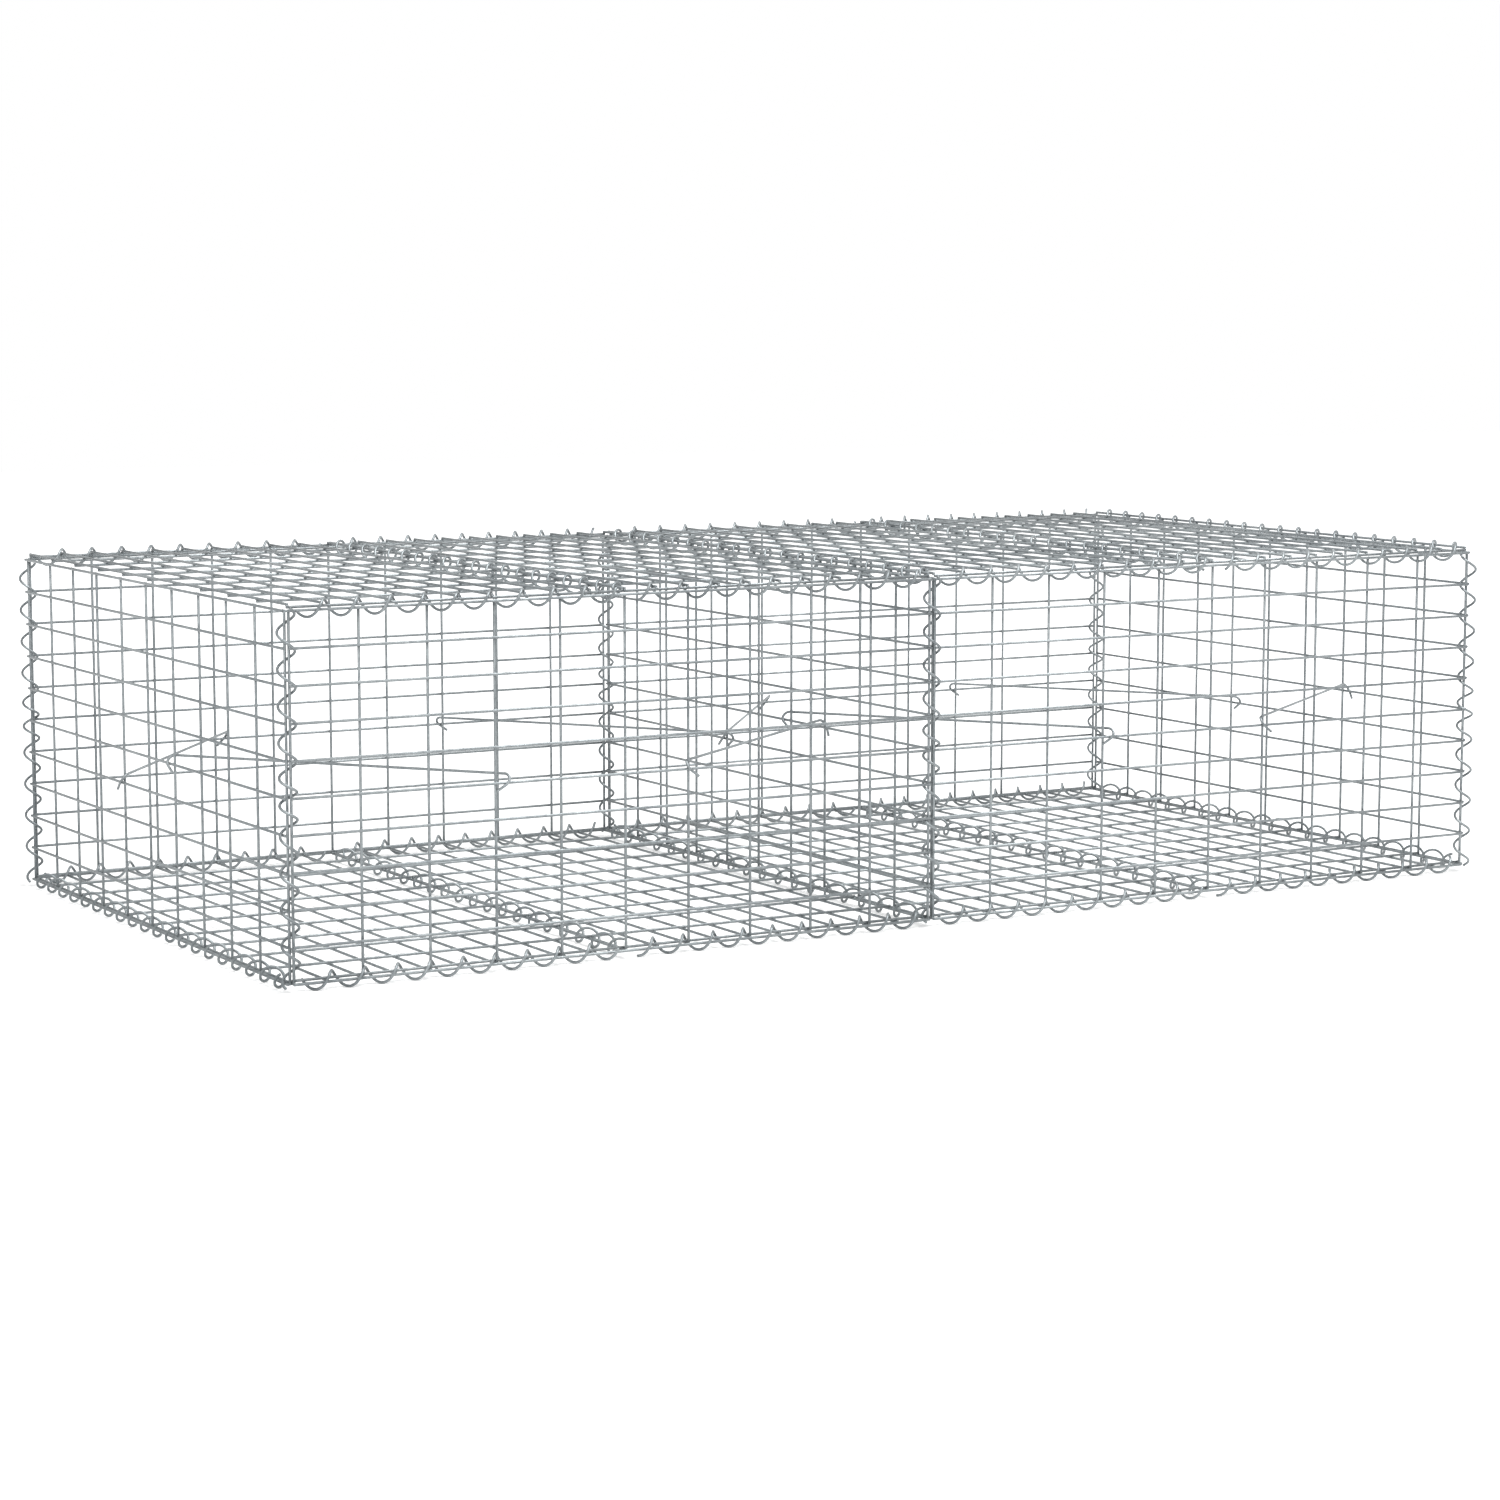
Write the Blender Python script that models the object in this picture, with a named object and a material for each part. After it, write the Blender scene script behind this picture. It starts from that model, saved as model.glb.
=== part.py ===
"""Welded mesh gabion basket, 2.0 x 1.0 x 0.5 m, with one partition.

Fifteen equal welded panels of 1.0 x 0.5 m make the front, the back, the two ends, the
partition, the base and the lid. Spiral wires are screwed along every edge where panels
meet and lace them together, and eight hooked braces tie each end and the partition to
the long walls at half height. Metres, +Z up, origin on the ground under the middle,
+X along the basket, -Y to the front.
"""

import math

import bmesh
import bpy
from mathutils import Euler, Matrix, Vector

# Two bays side by side, each as long as one wall panel.
BAY_LENGTH = 1.0
DEPTH = 1.0
HEIGHT = 0.5

# Mesh wire, and the cells, which are half as wide as they are long.
WIRE = 0.004
CELL = 0.1
CELL_WIDTH = CELL / 2

# Spiral wire, and how loosely the flats of a turn go round the rims they hold.
SPIRAL_WIRE = 0.004
SPIRAL_CLEARANCE = 0.00045
TURNS_PER_CELL = 2
TURNS_PER_ROW = 1

# Brace wire: thickness, radius of its hooks, and the level wire that each pair hangs on.
BRACE_WIRE = 0.004
HOOK_RADIUS = 0.013
FRONT_BRACE_LEVEL = 5
BACK_BRACE_LEVEL = 4

# Air between pieces that touch on the real basket, and how far the cross wires reach
# over the rims that they are welded to.
GAP = 0.0003
WELD_LAP = 0.0005

# A square bar with the round wire's section area. A triangular one has a side of
# ROUND_TO_TRIANGLE diameters, and its middle is INRADIUS sides from each flat.
BAR = WIRE * math.sqrt(math.pi) / 2
ROUND_TO_TRIANGLE = math.sqrt(math.pi / math.sqrt(3))
INRADIUS = 1 / (2 * math.sqrt(3))
SPIRAL_SIDE = SPIRAL_WIRE * ROUND_TO_TRIANGLE
BRACE_SIDE = BRACE_WIRE * ROUND_TO_TRIANGLE

# The cross wires lie in a layer of their own, this far from that of the long wires.
LAYER = BAR + GAP

# Distances between the outermost wires of a panel, and the spacing of the wires.
SPAN_X = BAY_LENGTH - WIRE
SPAN_Y = DEPTH - WIRE
SPAN_Z = HEIGHT - WIRE
CELLS_X = round(BAY_LENGTH / CELL)
CELLS_Y = round(DEPTH / CELL)
CELLS_Z = round(HEIGHT / CELL_WIDTH)
PITCH_X = SPAN_X / CELLS_X
PITCH_Y = SPAN_Y / CELLS_Y
PITCH_Z = SPAN_Z / CELLS_Z

# Two base panels share the length of a bay, their rims side by side in its middle. Each
# has as many rows as the wall has cells, so that the wires of both stay in step.
QUARTER_GAP = WIRE
BASE_SPAN = (SPAN_X - QUARTER_GAP) / 2
PITCH_BASE = BASE_SPAN / CELLS_X

# Distances between rims that are laced side by side: at an edge, where the rim of one
# panel clears the cross wires of the other, and in the middle, where the partition with
# its cross wires stands between two panels. The partition's cross wires end above the
# rims of the base, so it stands a little higher.
LACE_GAP = LAYER + BAR + 2 * GAP
MIDDLE_GAP = 2 * (LAYER + GAP + WELD_LAP)
PARTITION_RAISE = 2 * GAP + WELD_LAP

# A spiral is drawn with four flats to the turn, as wide as the middle rims need.
FLATS = 4
FLAT_RADIUS = MIDDLE_GAP / 2 + BAR / 2 + SPIRAL_CLEARANCE + 2 * INRADIUS * SPIRAL_SIDE
FLAT_OUTSIDE = FLAT_RADIUS + INRADIUS * SPIRAL_SIDE
SPIRAL_REACH = FLAT_OUTSIDE / math.cos(math.pi / FLATS)
SPIRAL_END = SPIRAL_REACH + SPIRAL_WIRE / 2

# Where the planes of the panels are. The basket stands on the flats of its spirals.
BASE_Z = FLAT_OUTSIDE
WALL_Z = BASE_Z + SPAN_Z / 2
TOP_Z = BASE_Z + SPAN_Z
LID_Z = TOP_Z + LACE_GAP
WALL_X = (MIDDLE_GAP + SPAN_X) / 2
END_X = MIDDLE_GAP / 2 + SPAN_X + LACE_GAP
SIDE_Y = SPAN_Y / 2 + LACE_GAP
QUARTER_X = WALL_X
INNER_X = QUARTER_X - (QUARTER_GAP + BASE_SPAN) / 2
OUTER_X = QUARTER_X + (QUARTER_GAP + BASE_SPAN) / 2

# Lines that the spirals run along, half way between the rims they hold.
EDGE_X = END_X - LACE_GAP / 2
EDGE_Y = SIDE_Y - LACE_GAP / 2
EDGE_TOP = TOP_Z + LACE_GAP / 2

# Sideways distance from a brace to the upright that its hook bears on. Where two hooks
# share an upright, the second passes its other side, further off.
HOOK_OFFSET = BAR * 0.7 + BRACE_SIDE / 2 + 2 * GAP
SECOND_HOOK_OFFSET = -(HOOK_OFFSET + HOOK_RADIUS * 0.8)
HOOK_STEPS = 4

GALVANISED = (0.56, 0.57, 0.58, 1.0)
BRIGHT_WIRE = (0.50, 0.51, 0.52, 1.0)


def clear_scene():
    for thing in list(bpy.data.objects):
        bpy.data.objects.remove(thing, do_unlink=True)


def steel(name, colour, roughness):
    """Zinc-coated steel wire as a Principled material."""
    material = bpy.data.materials.new(name)
    material.use_nodes = True
    shader = material.node_tree.nodes["Principled BSDF"]
    shader.inputs["Base Color"].default_value = colour
    shader.inputs["Metallic"].default_value = 0.85
    shader.inputs["Roughness"].default_value = roughness
    material.diffuse_color = colour
    return material


def add_box(bm, low, high):
    """A box between two corners."""
    low = Vector(low)
    high = Vector(high)
    size = high - low
    place = Matrix.Translation((low + high) / 2) @ Matrix.Diagonal((*size, 1))
    bmesh.ops.create_cube(bm, size=1, matrix=place)


def mesh_object(name, bm):
    """A scene object that holds the bmesh."""
    mesh = bpy.data.meshes.new(name)
    bm.to_mesh(mesh)
    bm.free()
    thing = bpy.data.objects.new(name, mesh)
    bpy.context.scene.collection.objects.link(thing)
    return thing


def long_wires(span_long, span_short, rows):
    """The long wires and the two end wires, as a plate with a slot for each row.

    The plate lies in the panel's own XY plane. The two rims are taller by the air
    over the other long wires, so that the cross wires rest only on them.
    """
    half_long = (span_long + BAR) / 2
    half_short = (span_short + BAR) / 2
    pitch = span_short / rows
    bm = bmesh.new()
    add_box(bm, (-half_long, -half_short, -BAR / 2), (half_long, half_short, BAR / 2))
    plate = mesh_object("long_wires", bm)

    slots = bmesh.new()
    for row in range(rows):
        y = -span_short / 2 + row * pitch
        low = (-(span_long - BAR) / 2, y + BAR / 2, -BAR)
        high = ((span_long - BAR) / 2, y + pitch - BAR / 2, BAR)
        add_box(slots, low, high)
    cut(plate, mesh_object("slots", slots), "DIFFERENCE")

    rims = bmesh.new()
    for side in (-1, 1):
        y = side * span_short / 2
        low = (-half_long, y - BAR / 2, -BAR / 2)
        high = (half_long, y + BAR / 2, BAR / 2 + GAP)
        add_box(rims, low, high)
    cut(plate, mesh_object("rims", rims), "UNION")
    return plate


def cross_wires(span_long, span_short, cells):
    """The short wires between the two end wires, in the layer above the long ones."""
    reach = (span_short - BAR) / 2 + WELD_LAP
    bottom = BAR / 2 + GAP
    bm = bmesh.new()
    for column in range(1, cells):
        x = -span_long / 2 + column * span_long / cells
        low = (x - BAR / 2, -reach, bottom)
        high = (x + BAR / 2, reach, bottom + BAR)
        add_box(bm, low, high)
    return mesh_object("cross_wires", bm)


def cut(thing, other, operation):
    """Applies a Boolean with the other object and removes that object."""
    modifier = thing.modifiers.new("join", "BOOLEAN")
    modifier.operation = operation
    modifier.solver = "EXACT"
    modifier.object = other
    bpy.context.view_layer.update()
    graph = bpy.context.evaluated_depsgraph_get()
    mesh = bpy.data.meshes.new_from_object(thing.evaluated_get(graph))
    thing.modifiers.clear()
    thing.data = mesh
    bpy.data.objects.remove(other, do_unlink=True)


def panel_mesh(name, span_long, span_short, cells, rows):
    """One welded panel, long wires in the XY plane and cross wires on its +Z side."""
    panel = long_wires(span_long, span_short, rows)
    cut(panel, cross_wires(span_long, span_short, cells), "UNION")
    mesh = panel.data
    mesh.name = name
    bpy.data.objects.remove(panel, do_unlink=True)
    return mesh


def rod(rings):
    """A three-sided rod through rings of (centre, outward, side).

    Each ring has two corners on the outer side and one on the inner side. The outward
    vector is as long as the distance from the centre line to the outer flat, and the
    way along the rod, crossed with the side vector, points the same way.
    """
    bm = bmesh.new()
    loops = []
    for centre, outward, side in rings:
        corners = (centre + outward + side, centre + outward - side, centre - 2 * outward)
        loops.append([bm.verts.new(corner) for corner in corners])
    for here, there in zip(loops, loops[1:]):
        for k in range(3):
            after = (k + 1) % 3
            bm.faces.new((here[k], here[after], there[after], there[k]))
    bm.faces.new(reversed(loops[0]))
    bm.faces.new(loops[-1])
    return bm


def spiral_mesh(name, length, pitch, first_angle):
    """A left-handed helix round the local Z axis, from z = 0 to z = length.

    Turn number t stands at z = pitch * (t + 1/2) when it points along local +X, so
    that on its way through the panels it passes between their wires. first_angle is
    0 for a spiral with a corner on that line and half a flat for one with a flat.
    """
    step = 2 * math.pi / FLATS
    mitre = 1 / math.cos(step / 2)
    axis = Vector((0, 0, 1))
    lead = math.atan2(pitch / FLATS, 2 * FLAT_RADIUS * math.tan(step / 2))
    side = -axis * (SPIRAL_SIDE / 2 / math.cos(lead))
    rings = []
    for number in range(FLATS * math.ceil(length / pitch) + FLATS):
        angle = first_angle + (number - FLATS / 2) * step
        height = pitch * (angle / (2 * math.pi) + 0.5)
        if SPIRAL_END <= height <= length - SPIRAL_END:
            outward = Vector((math.cos(angle), -math.sin(angle), 0))
            centre = outward * FLAT_RADIUS * mitre + axis * height
            rings.append((centre, outward * INRADIUS * SPIRAL_SIDE * mitre, side))
    mesh = bpy.data.meshes.new(name)
    bm = rod(rings)
    bm.to_mesh(mesh)
    bm.free()
    return mesh


def place(name, mesh, material, location, matrix=None, euler=None):
    """Adds one object of a shared mesh with its own material slot."""
    thing = bpy.data.objects.new(name, mesh)
    if not mesh.materials:
        mesh.materials.append(material)
    thing.location = location
    if euler is not None:
        thing.rotation_euler = Euler([math.radians(angle) for angle in euler])
    if matrix is not None:
        thing.rotation_euler = matrix.to_euler()
    bpy.context.scene.collection.objects.link(thing)
    return thing


def add_panels(material):
    """Fifteen panels, each with its cross wires on the inner side."""
    wall = panel_mesh("wall_mesh", SPAN_X, SPAN_Z, CELLS_X, CELLS_Z)
    end = panel_mesh("end_mesh", SPAN_Y, SPAN_Z, CELLS_Y, CELLS_Z)
    base = panel_mesh("base_mesh", SPAN_Y, BASE_SPAN, CELLS_Y, CELLS_X)
    for side, name in ((-1, "left"), (1, "right")):
        spot = Vector((side * WALL_X, -SIDE_Y, WALL_Z))
        place("front_panel_" + name, wall, material, spot, euler=(90, 0, 180))
        spot = Vector((side * WALL_X, SIDE_Y, WALL_Z))
        place("back_panel_" + name, wall, material, spot, euler=(90, 0, 0))
        spot = Vector((side * END_X, 0, WALL_Z))
        place("end_panel_" + name, end, material, spot, euler=(90, 0, -side * 90))
    spot = Vector((0, 0, WALL_Z + PARTITION_RAISE))
    place("partition_panel", end, material, spot, euler=(90, 0, 90))
    for number, x in enumerate((-OUTER_X, -INNER_X, INNER_X, OUTER_X), 1):
        place(f"base_panel_{number}", base, material, (x, 0, BASE_Z), euler=(0, 0, 90))
        place(f"lid_panel_{number}", base, material, (x, 0, LID_Z), euler=(180, 0, 90))


def along(axis, towards):
    """The rotation that lays a spiral along axis, its +X side towards the panels."""
    axis = Vector(axis).normalized()
    inward = Vector(towards).normalized()
    return Matrix((inward, axis.cross(inward), axis)).transposed()


def add_upright_spirals(material, corner, tee):
    """Six spirals at the corners and at both ends of the partition."""
    for y, name in ((-1, "front"), (1, "back")):
        spot = (0, y * EDGE_Y, BASE_Z)
        place("partition_spiral_" + name, tee, material, spot, along((0, 0, 1), (0, -y, 0)))
        for x, hand in ((-1, "left"), (1, "right")):
            spot = (x * EDGE_X, y * EDGE_Y, BASE_Z)
            turn = along((0, 0, 1), (-x, -y, 0))
            place(f"corner_spiral_{name}_{hand}", corner, material, spot, turn)


def add_long_edge_spirals(material, edge):
    """Sixteen spirals along the front and back edges, one to each base or lid panel."""
    centres = (-OUTER_X, -INNER_X, INNER_X, OUTER_X)
    for level, height, up in (("base", BASE_Z, 1), ("lid", EDGE_TOP, -1)):
        for y, name in ((-1, "front"), (1, "back")):
            turn = along((1, 0, 0), (0, -y, up))
            for number, x in enumerate(centres, 1):
                spot = (x - BASE_SPAN / 2, y * EDGE_Y, height)
                place(f"{level}_{name}_spiral_{number}", edge, material, spot, turn)


def add_cross_spirals(material, edge, tee):
    """Nine spirals from front to back.

    Three join the base panels, three the lid panels, and the ends have one at the foot
    of each and one at the top of the right end. The left end's top edge has none.
    """
    start = -SPAN_Y / 2
    for number, x in enumerate((-QUARTER_X, 0, QUARTER_X), 1):
        turn = along((0, 1, 0), (0, 0, 1))
        place(f"base_cross_spiral_{number}", tee, material, (x, start, BASE_Z), turn)
        turn = along((0, 1, 0), (0, 0, -1))
        place(f"lid_cross_spiral_{number}", tee, material, (x, start, EDGE_TOP), turn)
    for side, name in ((-1, "left"), (1, "right")):
        turn = along((0, 1, 0), (-side, 0, 1))
        spot = (side * EDGE_X, start, BASE_Z)
        place("base_end_spiral_" + name, edge, material, spot, turn)
    turn = along((0, 1, 0), (-1, 0, -1))
    place("lid_end_spiral_right", edge, material, (EDGE_X, start, EDGE_TOP), turn)


def hook(centre, away):
    """Rings of a half-circle hook over a level wire, from its top to its tip."""
    side = Vector((-away.y, away.x, 0)) * (BRACE_SIDE / 2)
    rings = []
    for number in range(HOOK_STEPS + 1):
        angle = math.pi * number / HOOK_STEPS
        outward = away * math.sin(angle) + Vector((0, 0, math.cos(angle)))
        rings.append((centre + outward * HOOK_RADIUS, outward * BRACE_SIDE * INRADIUS, side))
    return rings


def add_brace(name, material, end_x, end_y, side_x, side_y, level, offset):
    """A straight wire between two walls, hooked over a level wire beside an upright.

    end_x and side_y are the planes of the level wires. The uprights stand a layer
    inside them, and the partition's on its +X side. The wire runs beside both
    uprights, away from the walls' corner for a positive offset, as far as the level
    wires that its hooks turn round.
    """
    height = BASE_Z + level * PITCH_Z
    end_inward = -1 if end_x > 0 else 1
    side_inward = -1 if side_y > 0 else 1
    start = Vector((end_x + end_inward * LAYER, end_y, height))
    finish = Vector((side_x, side_y + side_inward * LAYER, height))
    run = (finish - start).normalized()
    shift = Vector((-run.y, run.x, 0))
    if shift.dot(Vector((end_x, side_y, height)) - start) > 0:
        shift = -shift
    start += shift * offset
    finish += shift * offset
    start += run * ((end_x - start.x) / run.x)
    finish += run * ((side_y - finish.y) / run.y)
    first = [(c, o, -s) for c, o, s in reversed(hook(start, -run))]
    bm = rod(first + hook(finish, run))
    mesh = bpy.data.meshes.new(name)
    bm.to_mesh(mesh)
    bm.free()
    place(name, mesh, material, (0, 0, 0))


def add_braces(material):
    """Eight braces, one across each corner of the two bays."""
    left = -END_X
    front = FRONT_BRACE_LEVEL
    back = BACK_BRACE_LEVEL

    def upright_x(side, number):
        return side * WALL_X - SPAN_X / 2 + number * PITCH_X

    def upright_y(number):
        return -SPAN_Y / 2 + number * PITCH_Y

    table = (
        ("brace_left_end_front", left, 4, -1, 3, -1, front, HOOK_OFFSET),
        ("brace_left_end_back", left, 6, -1, 3, 1, back, HOOK_OFFSET),
        ("brace_left_bay_front", 0, 3, -1, 6, -1, front, HOOK_OFFSET),
        ("brace_left_bay_back", 0, 6, -1, 7, 1, back, HOOK_OFFSET),
        ("brace_right_bay_front", 0, 4, 1, 3, -1, front, HOOK_OFFSET),
        ("brace_right_bay_back", 0, 6, 1, 3, 1, back, SECOND_HOOK_OFFSET),
        ("brace_right_end_front", END_X, 3, 1, 6, -1, front, HOOK_OFFSET),
        ("brace_right_end_back", END_X, 6, 1, 7, 1, back, HOOK_OFFSET),
    )
    for name, end_x, end_number, bay, side_number, y, level, offset in table:
        end_y = upright_y(end_number)
        side_x = upright_x(bay, side_number)
        add_brace(name, material, end_x, end_y, side_x, y * SIDE_Y, level, offset)


def main():
    clear_scene()
    mesh_steel = steel("galvanised_mesh", GALVANISED, 0.42)
    spiral_steel = steel("galvanised_spiral", BRIGHT_WIRE, 0.38)
    brace_steel = steel("galvanised_brace", BRIGHT_WIRE, 0.38)
    half_flat = math.pi / FLATS
    corner = spiral_mesh("corner_spiral", SPAN_Z, PITCH_Z / TURNS_PER_ROW, 0)
    tee = spiral_mesh("tee_spiral", SPAN_Z, PITCH_Z / TURNS_PER_ROW, half_flat)
    edge = spiral_mesh("edge_spiral", BASE_SPAN, PITCH_BASE / TURNS_PER_ROW, 0)
    long_edge = spiral_mesh("long_edge_spiral", SPAN_Y, PITCH_Y / TURNS_PER_CELL, 0)
    long_tee = spiral_mesh("long_tee_spiral", SPAN_Y, PITCH_Y / TURNS_PER_CELL, half_flat)
    add_panels(mesh_steel)
    add_upright_spirals(spiral_steel, corner, tee)
    add_long_edge_spirals(spiral_steel, edge)
    add_cross_spirals(spiral_steel, long_edge, long_tee)
    add_braces(brace_steel)


main()
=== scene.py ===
"""Gabion basket in the finish of the real one: round galvanised wire throughout.

Every panel is welded from straight wires in two layers, every edge is laced by a coiled
spiral, and hooked braces cross the corners of both bays. Sizes and places come from the
frame, whose panels, spirals and braces stand where the wires do. Metres, +Z up.
"""

import math

import bpy
import numpy as np
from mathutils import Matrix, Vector


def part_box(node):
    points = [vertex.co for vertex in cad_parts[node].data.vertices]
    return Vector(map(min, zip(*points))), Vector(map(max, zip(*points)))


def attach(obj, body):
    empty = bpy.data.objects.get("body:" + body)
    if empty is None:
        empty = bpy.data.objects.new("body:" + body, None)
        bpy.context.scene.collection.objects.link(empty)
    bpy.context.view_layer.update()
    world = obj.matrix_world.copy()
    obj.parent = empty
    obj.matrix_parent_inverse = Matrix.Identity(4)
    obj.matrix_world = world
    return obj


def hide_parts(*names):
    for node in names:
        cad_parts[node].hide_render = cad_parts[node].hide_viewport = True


# Wire and its place in the frame, whose square bars have the section area of the wire.
WIRE = 0.004
BAR = WIRE * math.sqrt(math.pi) / 2
WIRE_SIDES = 10

# Cut ends: the last stretch of a wire, and the share of its thickness that it narrows to.
CUT_EDGE = 0.0005
CUT_SHARE = 0.75

# Edges where two faces meet at more than this stay sharp.
SHARP_ANGLE = math.radians(50)

# Cells along and across each panel, and how far its wires reach past the centre of the
# last wire they cross. They stop short of that centre at the partition's foot, and at the
# left of the base and lid panels on its right, so that they clear the wires there.
CELLS = 10
OVERHANG = 0.0015
PARTITION_OVERHANG = -0.00135
RIGHT_OF_PARTITION = 3

# Welds: the zinc fillet that fills the corner between two crossing wires. At its two
# ends the square of its radius is down to the share WELD_END.
WELD_RADIUS = 0.0024
WELD_HALF_HEIGHT = 0.0011
WELD_END = 0.05
WELD_RINGS = (-1, -0.6, 0, 0.6, 1)
WELD_SIDES = 8

# Spirals: radius of the centre line, how far they reach past the frame's, which ends a
# little short of the corners, and rings to the turn.
COIL_RADIUS = 0.0117
COIL_MORE = 0.006
COIL_RINGS = 22
LEFT_HANDED = -1
RIGHT_HANDED = 1

# Spirals along the front and back: distance between turns, and the share of a turn that
# is past the lowest point at the middle of each.
EDGE_PITCH = 0.0485
EDGE_PHASES = {
    "base_front": (0.51, 0.79, 0.53, 0.78),
    "base_back": (0.50, 0.76, 0.48, 0.76),
    "lid_front": (0.58, 0.83, 0.62, 0.90),
    "lid_back": (0.54, 0.76, 0.56, 0.80),
}

# The same for the spirals that run from front to back. Those of the lid are right-handed,
# unlike all others.
CROSS_PITCH = 0.0491
BASE_CROSS_PHASES = {
    "base_end_spiral_left": 0.42,
    "base_cross_spiral_1": 0.38,
    "base_cross_spiral_2": 0.38,
    "base_cross_spiral_3": 0.42,
    "base_end_spiral_right": 0.33,
}
LID_CROSS_PHASES = {
    "lid_cross_spiral_1": 0.25,
    "lid_cross_spiral_2": 0.20,
    "lid_cross_spiral_3": 0.02,
    "lid_end_spiral_right": 0.04,
}

# The spirals under the base hang as low as the frame's flats, and those along the top
# edges sag a little on the rims that they hold.
BASE_LIFT = 0.00217
TOP_SAG = 0.0018

# Upright spirals run from just over the ground to the lid's rim. They have been screwed
# in from both ends, and nearly half a turn more is squeezed in where they meet. The share
# of a turn at half height is counted from the point furthest to the camera's right.
UPRIGHT_HALF = 0.252
UPRIGHT_PITCH = 0.0486
UPRIGHT_PHASES = {
    "corner_spiral_front_left": 0.74,
    "corner_spiral_front_right": 0.24,
    "corner_spiral_back_left": 0.74,
    "corner_spiral_back_right": 0.30,
    "partition_spiral_front": 0.74,
    "partition_spiral_back": 0.03,
}
SQUEEZED_TURNS = 0.45
SQUEEZED_LENGTH = 0.09

# Braces: the two walls that each one ties, and how far along them it hooks on. In front
# the braces hang on the fifth level wire above the lowest, and behind on the fourth.
BRACES = {
    "brace_left_end_front": ("end_panel_left", -0.091, "front_panel_left", -0.687),
    "brace_left_end_back": ("end_panel_left", 0.1, "back_panel_left", -0.684),
    "brace_left_bay_front": ("partition_panel", -0.205, "front_panel_left", -0.403),
    "brace_left_bay_back": ("partition_panel", 0.081, "back_panel_left", -0.308),
    "brace_right_bay_front": ("partition_panel", -0.0875, "front_panel_right", 0.3155),
    "brace_right_bay_back": ("partition_panel", 0.102, "back_panel_right", 0.315),
    "brace_right_end_front": ("end_panel_right", -0.207, "front_panel_right", 0.601),
    "brace_right_end_back": ("end_panel_right", 0.086, "back_panel_right", 0.697),
}
FRONT_LEVEL = 5
BACK_LEVEL = 4

# Hooks: radius of the centre line, how far round it bends, the straight tail after the
# bend, the rings round the bend, how far the hook leans out of the upright, and how far
# its heart is over the level wire's.
HOOK_RADIUS = 0.01
HOOK_BEND = math.radians(135)
HOOK_TAIL = 0.015
HOOK_RINGS = 16
HOOK_LEAN = math.radians(35)
HOOK_RISE = 0.0035

# Colours of dull and of bright zinc on the mesh, the spirals and the braces, and how
# metallic it is. The braces' bright zinc is paler than the mesh's by a painted sheen, which
# stands in for the gloss on their wires where light falls on them from above. Galvanised
# wire is dulled by an oxide, so it is only half so.
MESH_ZINC = ("#7b8184", "#9aa0a2")
SPIRAL_ZINC = ("#767c7f", "#949a9c")
# Painted sheen: the braces' bright zinc is paler than the mesh's.
BRACE_ZINC_AND_PAINTED_SHEEN = ("#7b8184", "#9ea4a6")
ZINC_METALLIC = 0.5

# Patches of the coating are some 7 mm across, and broad ones 0.2 m. Zinc is dull where
# the two noises add up to the first share and bright where they reach the second.
PATCH_SIZE = 0.007
DRIFT_SIZE = 0.2
PATCH_SPREAD = (0.75, 1.25)

# Lines from drawing: width, length and depth, the shares of the noise that are all line
# and all wire, and the shade and the roughness of each. Real ones are finer: these are as
# wide and deep as they have to be to show at all.
LINE_WIDTH = 0.0012
LINE_LENGTH = 0.03
LINE_DEPTH = 0.00012
LINE_SPREAD = (0.35, 0.65)
LINE_SHADE = (0.88, 1.0)
LINE_ROUGHNESS = (0.5, 0.36)

# Camera: its place, how far round from the front and above level its line of sight comes
# from, in degrees, and its lens and the width of its sensor.
CAMERA_PLACE = (-2.9064, -4.9840, 0.9470)
CAMERA_AZIMUTH = -30.146
CAMERA_ELEVATION = 7.344
LENS_MM = 89.168
SENSOR_MM = 36

# Lamps: place, size and power in watts. The light from all round is in the same units as
# the white background, which is one.
KEY_LAMP = ((1.2, -1.5, 5.5), 3.0, 420)
FILL_LAMP = ((-4.0, -3.5, 3.0), 3.0, 90)
SURROUND_LIGHT = 0.4
WHITE = "#ffffff"

# Floor: half its side, its colour, how much it glows to the eye under the basket, and the
# distances from the middle between which it turns pure white.
FLOOR_HALF = 12.0
FLOOR_COLOUR = "#e6e6e6"
FLOOR_GLOW = 0.45
GLOW_STARTS = 1.4
GLOW_FULL = 3.2

X, Y, Z = np.eye(3)

# The walls, and which way is inward from each.
WALLS = {
    "front_panel_left": Y,
    "front_panel_right": Y,
    "back_panel_left": -Y,
    "back_panel_right": -Y,
    "end_panel_left": X,
    "end_panel_right": -X,
    "partition_panel": X,
}


def srgb(code):
    """Linear RGBA of an sRGB hex colour: each channel c is ((c + 0.055) / 1.055)^2.4."""
    channels = [int(code[k:k + 2], 16) / 255 for k in (1, 3, 5)]
    linear = [c / 12.92 if c <= 0.04045 else ((c + 0.055) / 1.055) ** 2.4 for c in channels]
    return (*linear, 1.0)


# Meshes from arrays

def unit(vectors):
    """Each vector divided by its length."""
    return vectors / np.linalg.norm(vectors, axis=-1, keepdims=True)


def corners_of(node):
    """The lowest and highest corners of a CAD node."""
    return tuple(np.array(corner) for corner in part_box(node))


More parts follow.
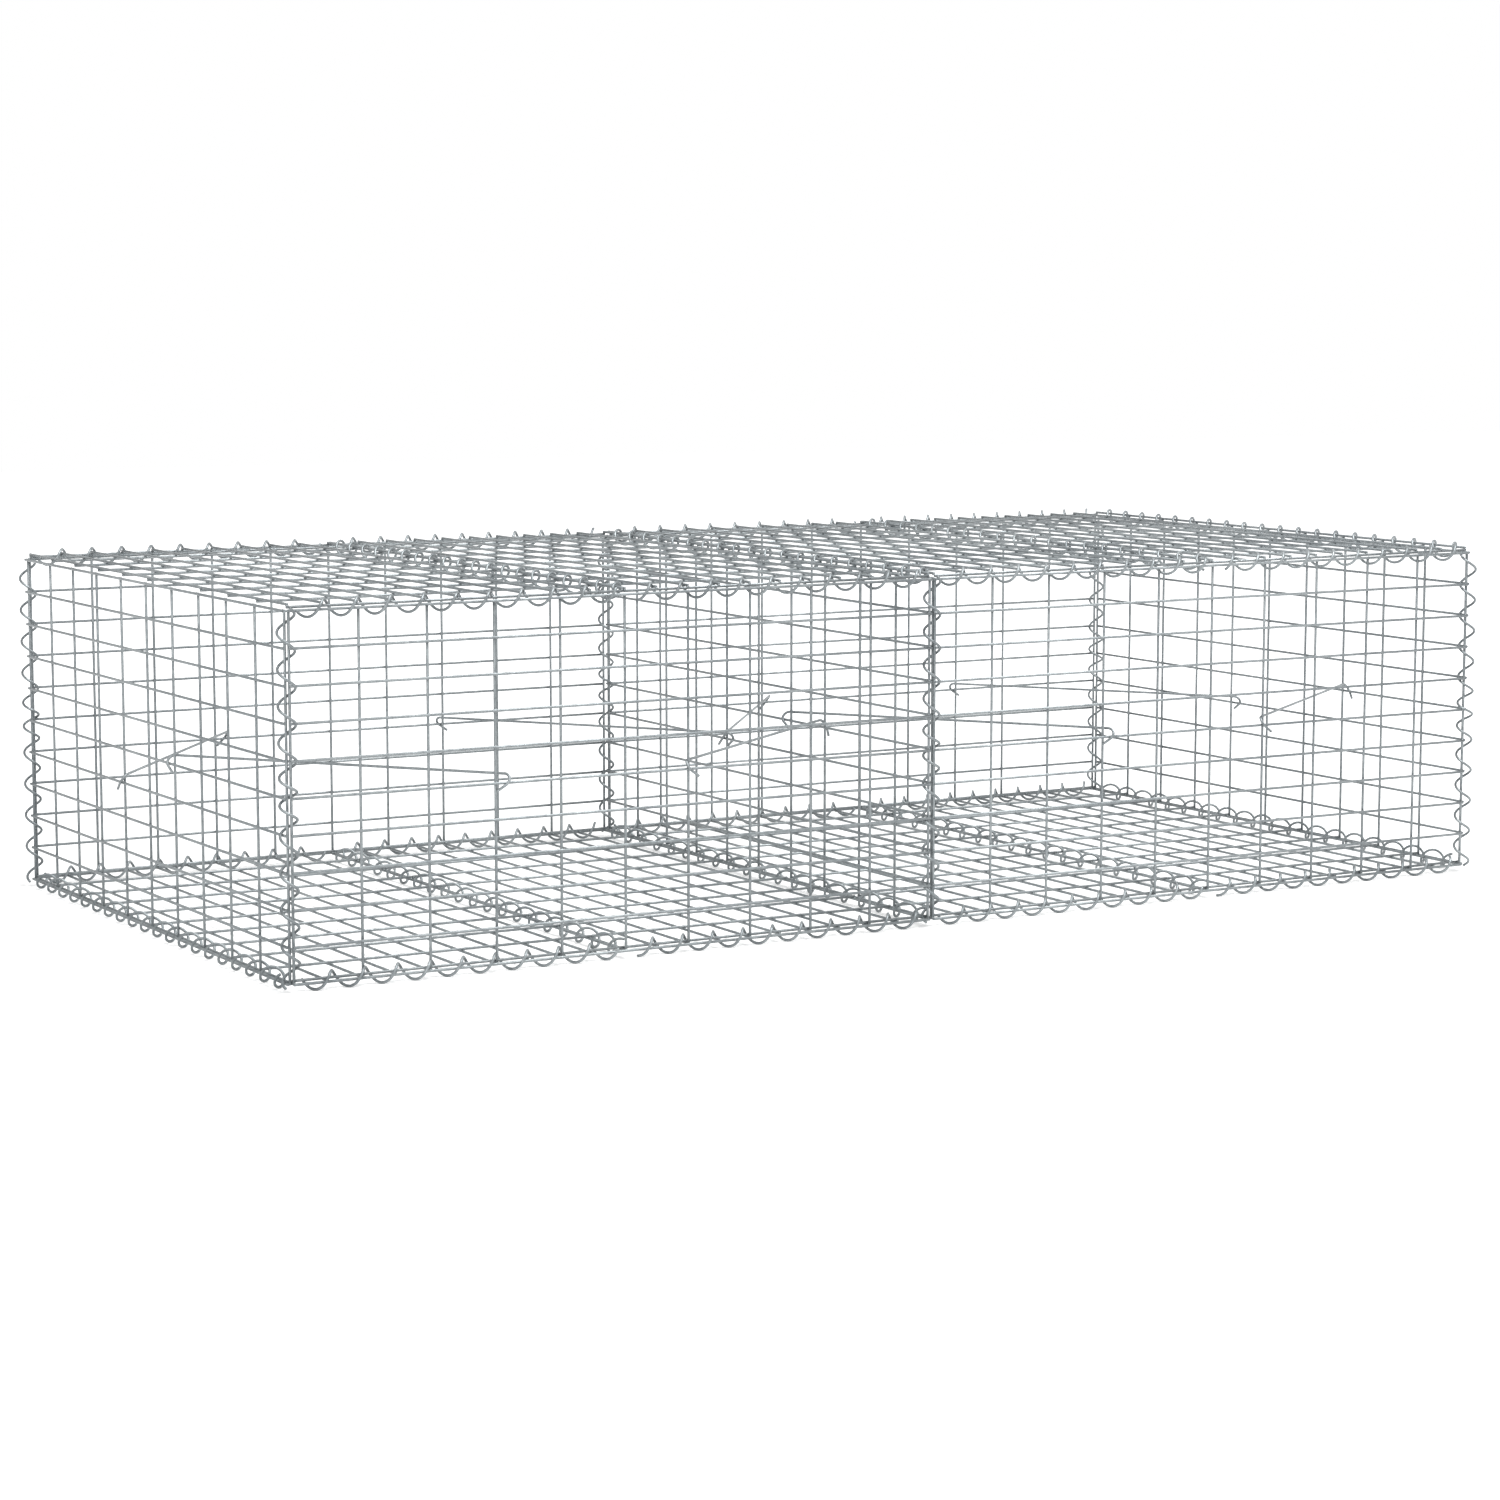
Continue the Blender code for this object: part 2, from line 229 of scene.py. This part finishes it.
def swept(lines, reference, radii, sides):
    """Round bars along lines: at each point a ring of the given radius square to the line.

    lines is (bars, points, 3). With T the line's direction and N the reference made
    square to T, a ring's point at angle a is P + r (N cos a + (T x N) sin a).
    Returns corners, quads, end caps and the UV of every face corner: the way round the
    wire and the way along it, and on a cap the corner's X and Z, all in metres.
    """
    lines = np.asarray(lines, float)
    tangent = unit(np.gradient(lines, axis=1))
    normal = np.broadcast_to(reference, lines.shape)
    normal = unit(normal - (normal * tangent).sum(-1, keepdims=True) * tangent)
    binormal = np.cross(tangent, normal)
    angle = np.linspace(0, 2 * np.pi, sides, endpoint=False)[:, None]
    ring = np.cos(angle) * normal[:, :, None] + np.sin(angle) * binormal[:, :, None]
    radii = np.broadcast_to(radii, lines.shape[:2])
    corners = lines[:, :, None] + radii[:, :, None, None] * ring
    bars, rings = lines.shape[:2]
    index = np.arange(bars * rings * sides).reshape(bars, rings, sides)
    after = np.roll(index, -1, axis=2)
    quads = np.stack([index[:, :-1], after[:, :-1], after[:, 1:], index[:, 1:]], axis=-1)
    caps = np.concatenate([index[:, 0, ::-1], index[:, -1]])

    steps = np.linalg.norm(np.diff(lines, axis=1), axis=-1)
    distance = np.pad(np.cumsum(steps, axis=1), ((0, 0), (1, 0)))
    around = np.arange(sides) * np.pi * WIRE / sides
    quad_uv = np.empty((bars, rings - 1, sides, 4, 2))
    quad_uv[..., 0] = around[:, None] + np.array([0, 1, 1, 0]) * np.pi * WIRE / sides
    quad_uv[..., :2, 1] = distance[:, :-1, None, None]
    quad_uv[..., 2:, 1] = distance[:, 1:, None, None]
    cap_uv = np.stack([corners[:, [0, -1]] @ X, corners[:, [0, -1]] @ Z], axis=-1)
    uv = np.concatenate([quad_uv.reshape(-1, 2), cap_uv.reshape(-1, 2)])
    return corners.reshape(-1, 3), quads.reshape(-1, 4), caps, uv


def joined(parts):
    """Several results of swept as one mesh: corners, loops, their totals and their UVs.

    All quads come first and then all caps, each moved on past the corners before it.
    """
    starts = np.cumsum([0] + [len(part[0]) for part in parts])
    quads = [part[1] + start for part, start in zip(parts, starts)]
    caps = [cap + start for part, start in zip(parts, starts) for cap in part[2]]
    corners = np.concatenate([part[0] for part in parts])
    loops = np.concatenate([np.concatenate(quads).ravel(), *caps])
    totals = [4] * sum(len(some) for some in quads) + [len(cap) for cap in caps]
    quad_loops = [4 * len(part[1]) for part in parts]
    uv = [part[3][:n] for part, n in zip(parts, quad_loops)]
    uv += [part[3][n:] for part, n in zip(parts, quad_loops)]
    return corners, loops, np.array(totals), np.concatenate(uv)


def piece(name, parts, material, node):
    """A mesh object at the origin that rides the basket and stands for a CAD node."""
    corners, loops, totals, uv = joined(parts)
    mesh = bpy.data.meshes.new(name)
    mesh.vertices.add(len(corners))
    mesh.vertices.foreach_set("co", corners.astype(np.float32).ravel())
    mesh.loops.add(len(loops))
    mesh.loops.foreach_set("vertex_index", loops.astype(np.int32))
    mesh.polygons.add(len(totals))
    starts = np.concatenate([[0], np.cumsum(totals)[:-1]])
    mesh.polygons.foreach_set("loop_start", starts.astype(np.int32))
    mesh.polygons.foreach_set("loop_total", totals.astype(np.int32))
    layer = mesh.uv_layers.new(name="along_wire")
    layer.data.foreach_set("uv", uv.astype(np.float32).ravel())
    mesh.update(calc_edges=True)
    mesh.validate()
    mesh.shade_smooth()
    mesh.set_sharp_from_angle(angle=SHARP_ANGLE)
    mesh.materials.append(material)
    thing = bpy.data.objects.new(name, mesh)
    bpy.context.scene.collection.objects.link(thing)
    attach(thing, "root")
    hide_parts(node)


# Panels

def straight(starts, ends):
    """Bars from starts to ends, five points each: a cut end, its edge, and the middle."""
    length = np.linalg.norm(ends - starts, axis=1)[:, None, None]
    edge = CUT_EDGE / length
    share = np.concatenate([0 * edge, edge, 0 * edge + 0.5, 1 - edge, 0 * edge + 1], axis=1)
    lines = starts[:, None] + share * (ends - starts)[:, None]
    radii = WIRE / 2 * np.array([CUT_SHARE, 1, 1, 1, CUT_SHARE])
    return lines, radii


def grid_wires(centres, low, high, across, along, depth_axis, depth):
    """Parallel wires at the given centres on one axis, from low to high on another."""
    starts = centres[:, None] * across + low * along + depth * depth_axis
    ends = centres[:, None] * across + high * along + depth * depth_axis
    lines, radii = straight(starts, ends)
    return swept(lines, depth_axis, radii, WIRE_SIDES)


def welds(columns, levels, long_axis, short_axis, depth_axis, depth):
    """A fillet at each crossing: a barrel on the depth axis, widest where the wires touch.

    At a share s of its half height the radius is R sqrt(1 + e - s^2), with e for its end.
    """
    column, level = (grid.ravel()[:, None] for grid in np.meshgrid(columns, levels))
    heart = column * long_axis + level * short_axis + depth * depth_axis
    share = np.array(WELD_RINGS)
    lines = heart[:, None] + (share * WELD_HALF_HEIGHT)[:, None] * depth_axis
    radii = WELD_RADIUS * np.sqrt(1 + WELD_END - share ** 2)
    return swept(lines, long_axis, radii, WELD_SIDES)


def layers(name, inward):
    """Where the outer and the inner layer of a panel's wires lie, on its inward axis."""
    low, high = corners_of(name)
    axis = np.abs(inward)
    outer, inner = low @ axis + BAR / 2, high @ axis - BAR / 2
    return (inner, outer) if inward.sum() < 0 else (outer, inner)


def panel(name, long_axis, short_axis, inward, foot_overhang, material):
    """One welded panel between the corners of its CAD node.

    The long wires lie in the outer layer and the short ones in the inner layer, both
    evenly spaced between the outermost wires.
    """
    low, high = corners_of(name)
    depth_axis = np.abs(inward)
    outer, inner = layers(name, inward)
    left, right = low @ long_axis + BAR / 2, high @ long_axis - BAR / 2
    foot, head = low @ short_axis + BAR / 2, high @ short_axis - BAR / 2
    columns = np.linspace(left, right, CELLS + 1)
    levels = np.linspace(foot, head, CELLS + 1)
    long_wires = grid_wires(levels, left - OVERHANG, right + OVERHANG,
                            short_axis, long_axis, depth_axis, outer)
    short_wires = grid_wires(columns, foot - foot_overhang, head + OVERHANG,
                             long_axis, short_axis, depth_axis, inner)
    fillets = welds(columns, levels, long_axis, short_axis, depth_axis, (outer + inner) / 2)
    piece(name + "_wires", (long_wires, short_wires, fillets), material,
          name)


def panels(material):
    """All fifteen panels, each with its layers turned as the frame's are."""
    for name, inward in WALLS.items():
        foot_overhang = PARTITION_OVERHANG if name == "partition_panel" else OVERHANG
        long_axis = X if inward @ Y else Y
        panel(name, long_axis, Z, inward, foot_overhang, material)
    for number in (1, 2, 3, 4):
        overhang = PARTITION_OVERHANG if number == RIGHT_OF_PARTITION else OVERHANG
        panel(f"base_panel_{number}", Y, X, Z, overhang, material)
        panel(f"lid_panel_{number}", Y, X, -Z, overhang, material)


# Spirals and braces

def bent_wire(line, reference):
    """A round wire along a line, with the edges of its cut ends rounded."""
    first = line[0] + CUT_EDGE * unit(line[1] - line[0])
    last = line[-1] + CUT_EDGE * unit(line[-2] - line[-1])
    line = np.concatenate([line[:1], [first], line[1:-1], [last], line[-1:]])
    radii = np.full(len(line), WIRE / 2)
    radii[[0, -1]] *= CUT_SHARE
    return swept(line[None], reference, radii, WIRE_SIDES)


def spiral(name, axis, toward, hand, half, turns_at, lift, material):
    """A spiral round the middle of its CAD node, as long as two halves.

    The helix is C + s A + R (U cos 2 pi t + h (A x U) sin 2 pi t), with s the distance
    from the node's middle, t the turns done there, U the direction of its whole turns
    and h its hand: one if right-handed, minus one if left-handed.
    """
    low, high = corners_of(name)
    turns = turns_at(half) - turns_at(-half)
    along = np.linspace(-half, half, round(COIL_RINGS * turns))
    angle = 2 * np.pi * turns_at(along)[:, None]
    outward = toward * np.cos(angle) + hand * np.cross(axis, toward) * np.sin(angle)
    line = (low + high) / 2 + lift * Z + along[:, None] * axis + COIL_RADIUS * outward
    piece(name + "_coil", [bent_wire(line, axis)], material, name)


def upright_spiral(name, phase, material):
    """Turns at s are s / pitch + phase, with more squeezed in by a smoothstep at s = 0."""
    def turns_at(s):
        share = np.clip(s / SQUEEZED_LENGTH + 0.5, 0, 1)
        step = share * share * (3 - 2 * share) - 0.5
        return s / UPRIGHT_PITCH + SQUEEZED_TURNS * step + phase

    azimuth = math.radians(CAMERA_AZIMUTH)
    view_right = math.cos(azimuth) * X + math.sin(azimuth) * Y
    spiral(name, Z, view_right, LEFT_HANDED, UPRIGHT_HALF, turns_at, 0, material)


def level_spiral(name, axis, hand, pitch, phase, material):
    """Turns at s are s / pitch + phase, whole where the spiral is lowest."""
    low, high = corners_of(name)
    half = (high - low) @ axis / 2 + COIL_MORE
    lift = BASE_LIFT if name.startswith("base") else -TOP_SAG
    spiral(name, axis, -Z, hand, half, lambda s: s / pitch + phase, lift, material)


def spirals(material):
    """All thirty-one spirals."""
    for name, phase in UPRIGHT_PHASES.items():
        upright_spiral(name, phase, material)
    for edge, phases in EDGE_PHASES.items():
        for number, phase in enumerate(phases, 1):
            name = f"{edge}_spiral_{number}"
            level_spiral(name, X, LEFT_HANDED, EDGE_PITCH, phase, material)
    for name, phase in BASE_CROSS_PHASES.items():
        level_spiral(name, Y, LEFT_HANDED, CROSS_PITCH, phase, material)
    for name, phase in LID_CROSS_PHASES.items():
        level_spiral(name, Y, RIGHT_HANDED, CROSS_PITCH, phase, material)


def level_wire(wall, place, level):
    """The centre of a wall's level wire, counted up from the lowest, at a place along it."""
    low, high = corners_of(wall)
    inward = WALLS[wall]
    step = ((high - low) @ Z - BAR) / CELLS
    height = low @ Z + BAR / 2 + level * step
    along = X if inward @ Y else Y
    return layers(wall, inward)[0] * np.abs(inward) + place * along + height * Z


def brace(name, first, first_place, second, second_place, material):
    """A straight wire pulled tight between two walls, with a hook round each level wire.

    With E the hook's heart, D the way out along the brace and W up in the hook's leaning
    plane, the bend is E + (d + R (cos a - 1)) D + R sin a W for a from 90 degrees down
    by its bend, d the wire's thickness. The tail goes on straight from there.
    """
    level = FRONT_LEVEL if name.endswith("front") else BACK_LEVEL
    start = level_wire(first, first_place, level) + HOOK_RISE * Z
    end = level_wire(second, second_place, level) + HOOK_RISE * Z
    run = unit(end - start)
    to_corner = (end - start) * Y
    to_corner = unit(to_corner - (to_corner @ run) * run)
    up = math.cos(HOOK_LEAN) * Z - math.sin(HOOK_LEAN) * to_corner

    angle = np.linspace(np.pi / 2, np.pi / 2 - HOOK_BEND, HOOK_RINGS)
    out = WIRE + HOOK_RADIUS * (np.cos(angle) - 1)
    rise = HOOK_RADIUS * np.sin(angle)
    out = np.append(out, out[-1] + HOOK_TAIL * np.sin(angle[-1]))[:, None]
    rise = np.append(rise, rise[-1] - HOOK_TAIL * np.cos(angle[-1]))[:, None]
    line = np.concatenate([(start - out * run + rise * up)[::-1], end + out * run + rise * up])
    piece(name + "_wire", [bent_wire(line, np.cross(run, up))], material,
          name)


# Finish

def add_node(tree, kind, links=(), **settings):
    """Adds a node; settings name its properties or inputs, links pair sockets with outputs."""
    node = tree.nodes.new(kind)
    for name, value in settings.items():
        if hasattr(node, name):
            setattr(node, name, value)
        else:
            node.inputs[name.replace("_", " ")].default_value = value
    for socket, output in dict(links).items():
        tree.links.new(output, node.inputs[socket])
    return node


def galvanised(name, dull, bright):
    """Steel wire, drawn and then dipped in zinc.

    To the eye it is a cool satin grey that drifts from dull to bright in patches, with
    fine dark lines along the wire from drawing, where the sheen breaks up as well.
    """
    material = bpy.data.materials.new(name)
    material.use_nodes = True
    tree = material.node_tree
    shader = tree.nodes["Principled BSDF"]
    shader.inputs["Metallic"].default_value = ZINC_METALLIC

    # Patches of zinc, and broad ones that make one wire paler than the next.
    where = add_node(tree, "ShaderNodeTexCoord")
    patches = add_node(tree, "ShaderNodeTexNoise", {"Vector": where.outputs["Object"]},
                       Scale=1 / PATCH_SIZE, Detail=3.0)
    drift = add_node(tree, "ShaderNodeTexNoise", {"Vector": where.outputs["Object"]},
                     Scale=1 / DRIFT_SIZE, Detail=1.0)
    both = add_node(tree, "ShaderNodeMath", {0: patches.outputs["Fac"],
                                             1: drift.outputs["Fac"]}, operation="ADD")
    zinc = add_node(tree, "ShaderNodeValToRGB", {"Fac": add_node(
        tree, "ShaderNodeMapRange", {"Value": both.outputs[0]},
        From_Min=PATCH_SPREAD[0], From_Max=PATCH_SPREAD[1]).outputs[0]})
    zinc.color_ramp.elements[0].color = srgb(dull)
    zinc.color_ramp.elements[1].color = srgb(bright)

    # Lines from drawing: a noise stretched along the wire, which differs from wire to
    # wire because the wire's place is added to the way round it and along it.
    on_wire = add_node(tree, "ShaderNodeUVMap", uv_map="along_wire")
    stretched = add_node(tree, "ShaderNodeVectorMath", {"Vector": on_wire.outputs["UV"]},
                         operation="MULTIPLY")
    stretched.inputs[1].default_value = (1 / LINE_WIDTH, 1 / LINE_LENGTH, 1)
    own = add_node(tree, "ShaderNodeVectorMath", {0: stretched.outputs[0],
                                                  1: where.outputs["Object"]},
                   operation="ADD")
    lines = add_node(tree, "ShaderNodeTexNoise", {"Vector": own.outputs[0]},
                     Scale=1.0, Detail=2.0)
    depth = add_node(tree, "ShaderNodeMapRange", {"Value": lines.outputs["Fac"]},
                     From_Min=LINE_SPREAD[0], From_Max=LINE_SPREAD[1])
    shade = add_node(tree, "ShaderNodeMapRange", {"Value": depth.outputs[0]},
                     To_Min=LINE_SHADE[0], To_Max=LINE_SHADE[1])
    colour = add_node(tree, "ShaderNodeVectorMath", {0: zinc.outputs["Color"],
                                                     "Scale": shade.outputs[0]},
                      operation="SCALE")
    rough = add_node(tree, "ShaderNodeMapRange", {"Value": depth.outputs[0]},
                     To_Min=LINE_ROUGHNESS[0], To_Max=LINE_ROUGHNESS[1])
    bump = add_node(tree, "ShaderNodeBump", {"Height": depth.outputs[0]},
                    Strength=1.0, Distance=LINE_DEPTH)
    tree.links.new(colour.outputs[0], shader.inputs["Base Color"])
    tree.links.new(rough.outputs[0], shader.inputs["Roughness"])
    tree.links.new(bump.outputs[0], shader.inputs["Normal"])
    return material


# Surroundings

def camera():
    """The camera, turned along its line of sight, which runs opposite to back."""
    azimuth, elevation = math.radians(CAMERA_AZIMUTH), math.radians(CAMERA_ELEVATION)
    back = Vector((
        math.sin(azimuth) * math.cos(elevation),
        -math.cos(azimuth) * math.cos(elevation),
        math.sin(elevation),
    ))
    lens = bpy.data.cameras.new("camera")
    lens.lens = LENS_MM
    lens.sensor_width = SENSOR_MM
    thing = bpy.data.objects.new("camera", lens)
    thing.location = CAMERA_PLACE
    thing.rotation_euler = (-back).to_track_quat("-Z", "Y").to_euler()
    bpy.context.scene.collection.objects.link(thing)
    bpy.context.scene.camera = thing


def seen_rays(tree):
    """One where the camera looks straight at the surface, or sees it in metal or glass."""
    path = add_node(tree, "ShaderNodeLightPath")
    first = add_node(tree, "ShaderNodeMath", {0: path.outputs["Is Camera Ray"],
                                              1: path.outputs["Is Glossy Ray"]},
                     operation="MAXIMUM")
    second = add_node(tree, "ShaderNodeMath", {0: first.outputs[0],
                                               1: path.outputs["Is Transmission Ray"]},
                      operation="MAXIMUM")
    return second.outputs[0]


def floor():
    """A pale floor under the basket, which fades into the white of the background."""
    half = FLOOR_HALF
    corners = [(-half, -half, 0), (half, -half, 0), (half, half, 0), (-half, half, 0)]
    mesh = bpy.data.meshes.new("floor")
    mesh.from_pydata(corners, [], [(0, 1, 2, 3)])
    material = bpy.data.materials.new("white_floor")
    material.use_nodes = True
    tree = material.node_tree
    tree.nodes.clear()
    where = add_node(tree, "ShaderNodeTexCoord")
    away = add_node(tree, "ShaderNodeVectorMath", {"Vector": where.outputs["Object"]},
                    operation="LENGTH")
    glow = add_node(tree, "ShaderNodeMapRange", {"Value": away.outputs["Value"]},
                    From_Min=GLOW_STARTS, From_Max=GLOW_FULL, To_Min=FLOOR_GLOW, To_Max=1.0)
    matt = add_node(tree, "ShaderNodeBsdfDiffuse", Color=srgb(FLOOR_COLOUR))
    light = add_node(tree, "ShaderNodeEmission", {"Strength": glow.outputs["Result"]})
    both = add_node(tree, "ShaderNodeAddShader", {0: matt.outputs[0], 1: light.outputs[0]})
    mix = add_node(tree, "ShaderNodeMixShader", {0: seen_rays(tree), 1: matt.outputs[0],
                                                 2: both.outputs[0]})
    add_node(tree, "ShaderNodeOutputMaterial", {"Surface": mix.outputs[0]})
    mesh.materials.append(material)
    thing = bpy.data.objects.new("floor", mesh)
    bpy.context.scene.collection.objects.link(thing)


def surroundings():
    """White all round to the eye and in reflections, with a softer light from it."""
    world = bpy.data.worlds.new("studio")
    bpy.context.scene.world = world
    world.use_nodes = True
    tree = world.node_tree
    tree.nodes.clear()
    light = add_node(tree, "ShaderNodeBackground", Color=srgb(WHITE),
                     Strength=SURROUND_LIGHT)
    seen = add_node(tree, "ShaderNodeBackground", Color=srgb(WHITE), Strength=1.0)
    mix = add_node(tree, "ShaderNodeMixShader", {0: seen_rays(tree), 1: light.outputs[0],
                                                 2: seen.outputs[0]})
    add_node(tree, "ShaderNodeOutputWorld", {"Surface": mix.outputs[0]})


def lamp(name, place, size, power):
    """A square soft box that faces the middle of the basket's underside."""
    light = bpy.data.lights.new(name, "AREA")
    light.size = size
    light.energy = power
    thing = bpy.data.objects.new(name, light)
    thing.location = place
    thing.rotation_euler = (-Vector(place)).to_track_quat("-Z", "Y").to_euler()
    bpy.context.scene.collection.objects.link(thing)


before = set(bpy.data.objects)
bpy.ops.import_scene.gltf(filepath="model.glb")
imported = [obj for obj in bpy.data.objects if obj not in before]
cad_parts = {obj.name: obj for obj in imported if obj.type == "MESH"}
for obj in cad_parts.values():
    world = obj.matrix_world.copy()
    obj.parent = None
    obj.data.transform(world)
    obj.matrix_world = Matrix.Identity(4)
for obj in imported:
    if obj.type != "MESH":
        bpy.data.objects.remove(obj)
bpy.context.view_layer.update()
mesh_zinc = galvanised("galvanised_mesh", *MESH_ZINC)
spiral_zinc = galvanised("galvanised_spiral", *SPIRAL_ZINC)
# The braces' zinc carries a painted sheen: its bright end is paler than the mesh's.
brace_zinc_and_painted_sheen = galvanised("galvanised_brace", *BRACE_ZINC_AND_PAINTED_SHEEN)
panels(mesh_zinc)
spirals(spiral_zinc)
for name, hold in BRACES.items():
    brace(name, *hold, brace_zinc_and_painted_sheen)
camera()
floor()
surroundings()
lamp("key", *KEY_LAMP)
lamp("fill", *FILL_LAMP)
bpy.context.scene.view_settings.view_transform = "Standard"
